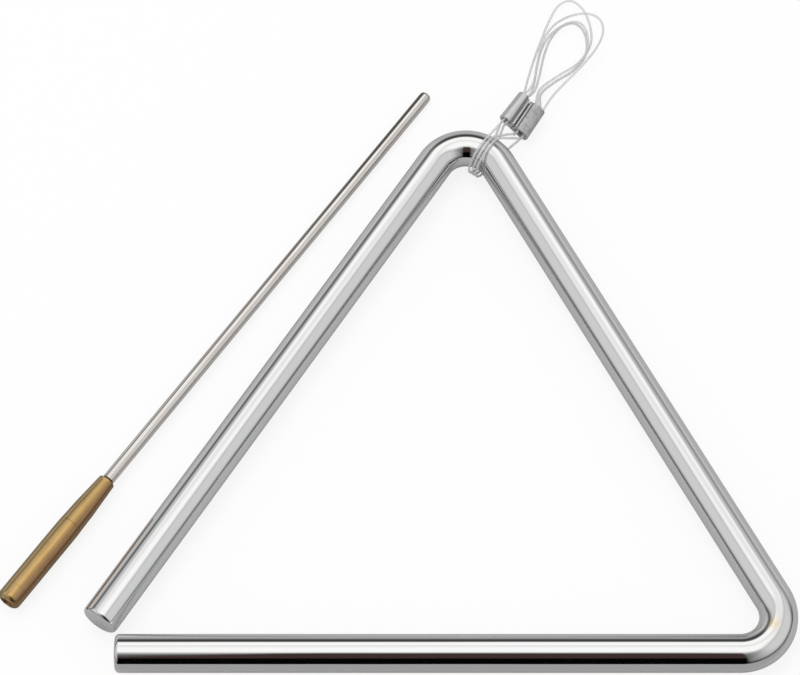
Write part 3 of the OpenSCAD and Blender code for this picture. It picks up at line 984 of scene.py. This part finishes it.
@dataclass
class Beater:
    """The beater: a rod with a thinner tenon, let into a turned handle."""

    bar: Bar
    length: float = 229.2
    rod: float = 4.0
    rod_sides: int = 64
    let_in: float = 26.0
    tenon_step: float = 0.3
    neck: float = 0.5
    neck_edge: float = 0.12
    tip_round: float = 1.4
    handle: float = 7.8
    handle_sides: int = 96
    handle_length: float = 51.6
    straight: float = 30.8
    straight_steps: int = 40
    ease_run: float = 3.0
    ease_drop: float = 0.02
    nose: float = 5.6
    swell_share: float = 0.42
    swell_drop: float = 0.3
    swell_waist: float = 0.03
    swell_steps: int = 8
    taper_steps: int = 10
    nose_round: float = 0.4
    hollow: float = 4.4
    hollow_depth: float = 1.2
    hollow_power: float = 3.5
    hollow_steps: int = 10
    butt_crown: float = 1.7
    ring_marks: Pair = (32.6, 5.6)
    gap: float = 18.7
    back: float = 9.4
    turn: float = 2.56

    def __post_init__(self) -> None:
        """Work out where the beater lies and how its rod is let in."""
        self.tenon, self.inner = self.rod / 2 - self.tenon_step, self.handle_length - self.let_in
        handle_r = self.handle / 2
        slope = math.atan((handle_r - self.rod / 2) / (self.length - self.tip_round - self.straight))
        butt = self.bar.open_end + ray(self.bar.open_turn) * self.back
        butt += ray(self.bar.open_turn - 90) * (self.bar.radius + self.gap + handle_r)
        flat = ray(self.bar.open_turn - 180 - self.turn)
        cos, sin = math.cos(slope), math.sin(slope)
        over = handle_r * cos + self.straight * sin
        start = Vector((butt.x - self.bar.origin[0], butt.y - self.bar.origin[1], over))
        along, up = flat * cos - Vector((0, 0, sin)), flat * sin + Vector((0, 0, cos))
        self.axes = Axes(start, along, Vector((flat.y, -flat.x, 0)), up)

    @staticmethod
    def _quarter(centre: Pair, radius: float, start: float, steps: int = 8) -> list[Pair]:
        """Points of a rounding of 90 degrees, as radius and length along."""
        turns = [cos_sin(start + turn) for turn in even(0, 90, steps)]
        return [(centre[0] + radius * cos, centre[1] + radius * sin) for cos, sin in turns]

    def rod_profile(self) -> list[Pair]:
        """Profile of the rod, from its tenon inside the handle to its tip."""
        r, shoulder = self.rod / 2, self.handle_length + self.neck
        return [
            (0, self.inner),
            (self.tenon, self.inner),
            (self.tenon, shoulder),
            (r - self.neck_edge, shoulder),
            (r, shoulder + self.neck_edge),
            *self._quarter((r - self.tip_round, self.length - self.tip_round), self.tip_round, 0),
            (0, self.length),
        ]

    def handle_profile(self) -> list[Pair]:
        """Profile of the handle, from the hollow in its butt to its nose and its bore."""
        r, nose_r = self.handle / 2, self.nose / 2
        crown, eased = self.butt_crown, self.straight - self.ease_run
        swell_at = self.straight + (self.handle_length - self.straight) * self.swell_share
        swell_r = r - (self.handle - self.nose) / 2 * self.swell_drop
        end = self.handle_length - self.nose_round
        n, m = self.hollow_steps, self.swell_steps
        hollow = [
            (x, self.hollow_depth * (1 - share**self.hollow_power))
            for x, share in zip(even(0, self.hollow / 2, n), even(0, 1, n))
        ]
        body = [(r, at) for at in even(crown, eased, self.straight_steps)[1:]]
        ease = [(r - self.ease_drop * k * k / 4, eased + k * self.ease_run / 2) for k in (1, 2)]
        swell = [
            (x - self.swell_waist * math.sin(math.pi * k / m), at)
            for k, (x, at) in enumerate(zip(even(r, swell_r, m), even(self.straight, swell_at, m)))
        ]
        taper = zip(even(swell_r, nose_r, self.taper_steps), even(swell_at, end, self.taper_steps))
        return [
            *hollow,
            *self._quarter((r - crown, crown), crown, -90),
            *body,
            *ease,
            *swell[1:-1],
            *taper,
            *self._quarter((nose_r - self.nose_round, end), self.nose_round, 0, 5),
            (self.tenon, self.handle_length),
            (self.tenon, self.inner),
            (0, self.inner),
        ]

    def build(self) -> list[Piece]:
        """Make the rod and the handle.

        Returns:
            The two pieces.
        """
        steel = DrawnSteel(self.axes, self.handle_length + self.neck)
        mesh = turned_mesh(self.axes, self.rod_profile(), self.rod_sides)
        rod = finished_piece("drawn_rod", mesh, steel)
        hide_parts("beater_rod")
        brass = TurnedBrass(self.axes, self.handle_length, self.ring_marks, self.hollow / 2)
        mesh = turned_mesh(self.axes, self.handle_profile(), self.handle_sides)
        handle = finished_piece("turned_handle", mesh, brass)
        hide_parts("beater_handle")
        for piece in (rod, handle):
            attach(piece, Body.BEATER.value)
        return [rod, handle]


# Studio


@dataclass
class Studio:
    """The camera, the table, the light and what the bright metal mirrors, in metres and degrees."""

    camera_at: Point = (0.000914, -0.511910, 0.996888)
    camera_lean: float = 27.7995
    lens: float = 155.459
    clip: Pair = (0.05, 50.0)
    floor_reach: float = 6.0
    floor_tone: float = 0.86
    floor_glow: float = 1.04
    mirrored_floor: Pair = (0.30, 0.40)
    mirrored_edge: Pair = (-0.118, -0.104)
    lamp_at: Point = (-0.35, 0.25, 1.3)
    lamp_size: float = 0.9
    lamp_power: float = 5.0
    room_light: float = 0.72
    wall_tones: Pair = (0.50, 0.64)
    line_tone: float = 0.02
    box_dim: Colour = (0.72, 0.72, 0.715, 1.0)
    box_bright: Colour = (1.01, 1.005, 0.985, 1.0)
    card_half: float = 16.0
    card_soft: float = 4.0
    card_shade: Pair = (8.0, 66.0)
    card_black: float = 0.001
    card_brown: Colour = (0.048, 0.031, 0.027, 1.0)

    def place_camera(self) -> None:
        """Set the camera at the photograph's angle."""
        data = bpy.data.cameras.new("view")
        data.lens = self.lens
        data.clip_start, data.clip_end = self.clip
        camera = shown("view", data)
        camera.location = self.camera_at
        camera.rotation_euler = (math.radians(self.camera_lean), 0, 0)
        bpy.context.scene.camera = camera
        bpy.context.scene.view_settings.view_transform = "Standard"

    def lay_floor(self) -> None:
        """Lay the pale table top, which bright metal mirrors darker."""
        material = bpy.data.materials.new("pale_table")
        material.use_nodes = True
        material.node_tree.nodes.clear()
        desk = NodeDesk(material.node_tree)
        path = desk.outputs("ShaderNodeLightPath")
        seen, glossy = path["Is Camera Ray"] + path["Is Transmission Ray"], path["Is Glossy Ray"]
        # Painted shade on the table as bright metal mirrors it: darker to glossy rays, and darker still south
        # of the bottom leg.
        beyond = desk.step(desk.dot(desk.place(), (0, 1, 0)), *self.mirrored_edge)
        mirrored = desk.mixed(beyond, *map(grey, self.mirrored_floor))
        tone = desk.mixed(glossy, grey(self.floor_tone), mirrored)
        matt = desk.make("ShaderNodeBsdfDiffuse", {"Color": tone})
        glow = desk.make("ShaderNodeEmission", {"Color": grey(1.0), "Strength": self.floor_glow})
        both = desk.make("ShaderNodeMixShader", {0: seen * 0.8 + glossy * 0.1, 1: matt, 2: glow})
        desk.make("ShaderNodeOutputMaterial", {"Surface": both})
        r = self.floor_reach
        mesh = bpy.data.meshes.new("table_top")
        mesh.from_pydata([(-r, -r, 0), (r, -r, 0), (r, r, 0), (-r, r, 0)], [], [(0, 1, 2, 3)])
        mesh.materials.append(material)
        floor = shown("table_top", mesh)

    def hang_lamp(self) -> None:
        """Hang one broad soft lamp over the table."""
        data = bpy.data.lights.new("broad_lamp", "AREA")
        data.size = self.lamp_size
        data.energy = self.lamp_power
        lamp = shown("broad_lamp", data)
        lamp.location = self.lamp_at
        lamp.rotation_euler = Vector(self.lamp_at).to_track_quat("Z", "Y").to_euler()
        lamp.visible_glossy = False

    def _walls(self, desk: NodeDesk, x: Field, y: Field, height: Field) -> Field:
        """Pale walls with a soft dark line on them, which stands higher in the north."""
        north = y / desk.maths("SQRT", x * x + y * y + 1e-6)
        walls = desk.mixed(desk.step(height, -4.0, 24.0), *map(grey, self.wall_tones))
        behind = desk.step(north, 0.88, 0.99)
        east = desk.step(x, 0.1, 0.4) * desk.step(north, 0.3, 0.6) * (1.0 - behind)
        line_at = 1.0 + desk.step(north, 0.05, 0.85) * 27.0
        off = (height - line_at) / (11.0 + behind * 7.0)
        dark = desk.maths("EXPONENT", off * off * -1.0) * (0.86 + behind * 0.11 - east * 0.28)
        return desk.mixed(dark, walls, grey(self.line_tone))

    def _softbox(self, desk: NodeDesk, room: Field, x: Field, y: Field, z: Field) -> Field:
        """The room with the softbox, dimmer across its middle, and a shaded strip beside it."""
        up = desk.maths("MAXIMUM", z, 0.05)
        over_x, over_y, overhead = x / up, y / up, desk.step(z, 0.1, 0.3)
        border = desk.band(over_x, -0.62, 0.62, 0.08) * overhead
        room = desk.mixed(border * 0.16, room, grey(self.line_tone))
        box = desk.band(over_x, -0.42, 0.42, 0.16) * desk.band(over_y, -0.3, 1.1, 0.14) * overhead
        dip = 1.0 - desk.band(over_y, 0.3, 0.5, 0.15) * 0.75
        return desk.mixed(box, room, desk.mixed(dip, self.box_dim, self.box_bright))

    def _card(self, desk: NodeDesk, room: Field, x: Field, y: Field, height: Field) -> Field:
        """The room with the black card, brown in its upper part, and its wide shade."""
        side = abs(desk.maths("ARCTAN2", x, y * -1.0)) * math.degrees(1)
        shade = (1.0 - desk.step(side, *self.card_shade)) * desk.band(height, -8.0, 64.0, 9.0)
        room = desk.mixed(shade * 0.78, room, grey(0.01))
        beside = desk.step(side, self.card_half - self.card_soft, self.card_half + self.card_soft)
        card = (1.0 - beside) * desk.band(height, -8.0, 69.0, 6.0)
        tone = desk.mixed(desk.step(height, 33.0, 43.0), grey(self.card_black), self.card_brown)
        return desk.mixed(card, room, tone)

    def surround(self) -> None:
        """Make the room that bright metal mirrors, grey as light and white to the camera."""
        world = bpy.data.worlds.new("studio_room")
        bpy.context.scene.world = world
        world.use_nodes = True
        world.node_tree.nodes.clear()
        desk = NodeDesk(world.node_tree)
        way = desk.make("ShaderNodeTexCoord", {}, "Generated")
        x, y, z = (desk.dot(way, axis) for axis in ((1, 0, 0), (0, 1, 0), (0, 0, 1)))
        height = desk.maths("ARCSINE", z) * math.degrees(1)
        room = self._softbox(desk, self._walls(desk, x, y, height), x, y, z)
        room = self._card(desk, room, x, y, height)
        path = desk.outputs("ShaderNodeLightPath")
        lit = desk.mixed(path["Is Glossy Ray"], grey(self.room_light), room)
        colour = desk.mixed(path["Is Camera Ray"] + path["Is Transmission Ray"], lit, grey(1.0))
        back = desk.make("ShaderNodeBackground", {"Color": colour})
        desk.make("ShaderNodeOutputWorld", {"Surface": back})


def main() -> None:
    """Build the sub-assemblies in order, the one with the cord first, and report each piece."""
    logging.basicConfig(level=logging.INFO, format="%(message)s")
    studio = Studio()
    studio.place_camera()
    section = SweptSection()
    bar = Bar(section)
    for part in (Hanger(section, bar), bar, Beater(bar)):
        for piece in part.build():
            LOG.info("%s: %d faces", piece.name, len(piece.data.polygons))
    studio.lay_floor()
    studio.hang_lamp()
    studio.surround()


if __name__ == "__main__":
    main()
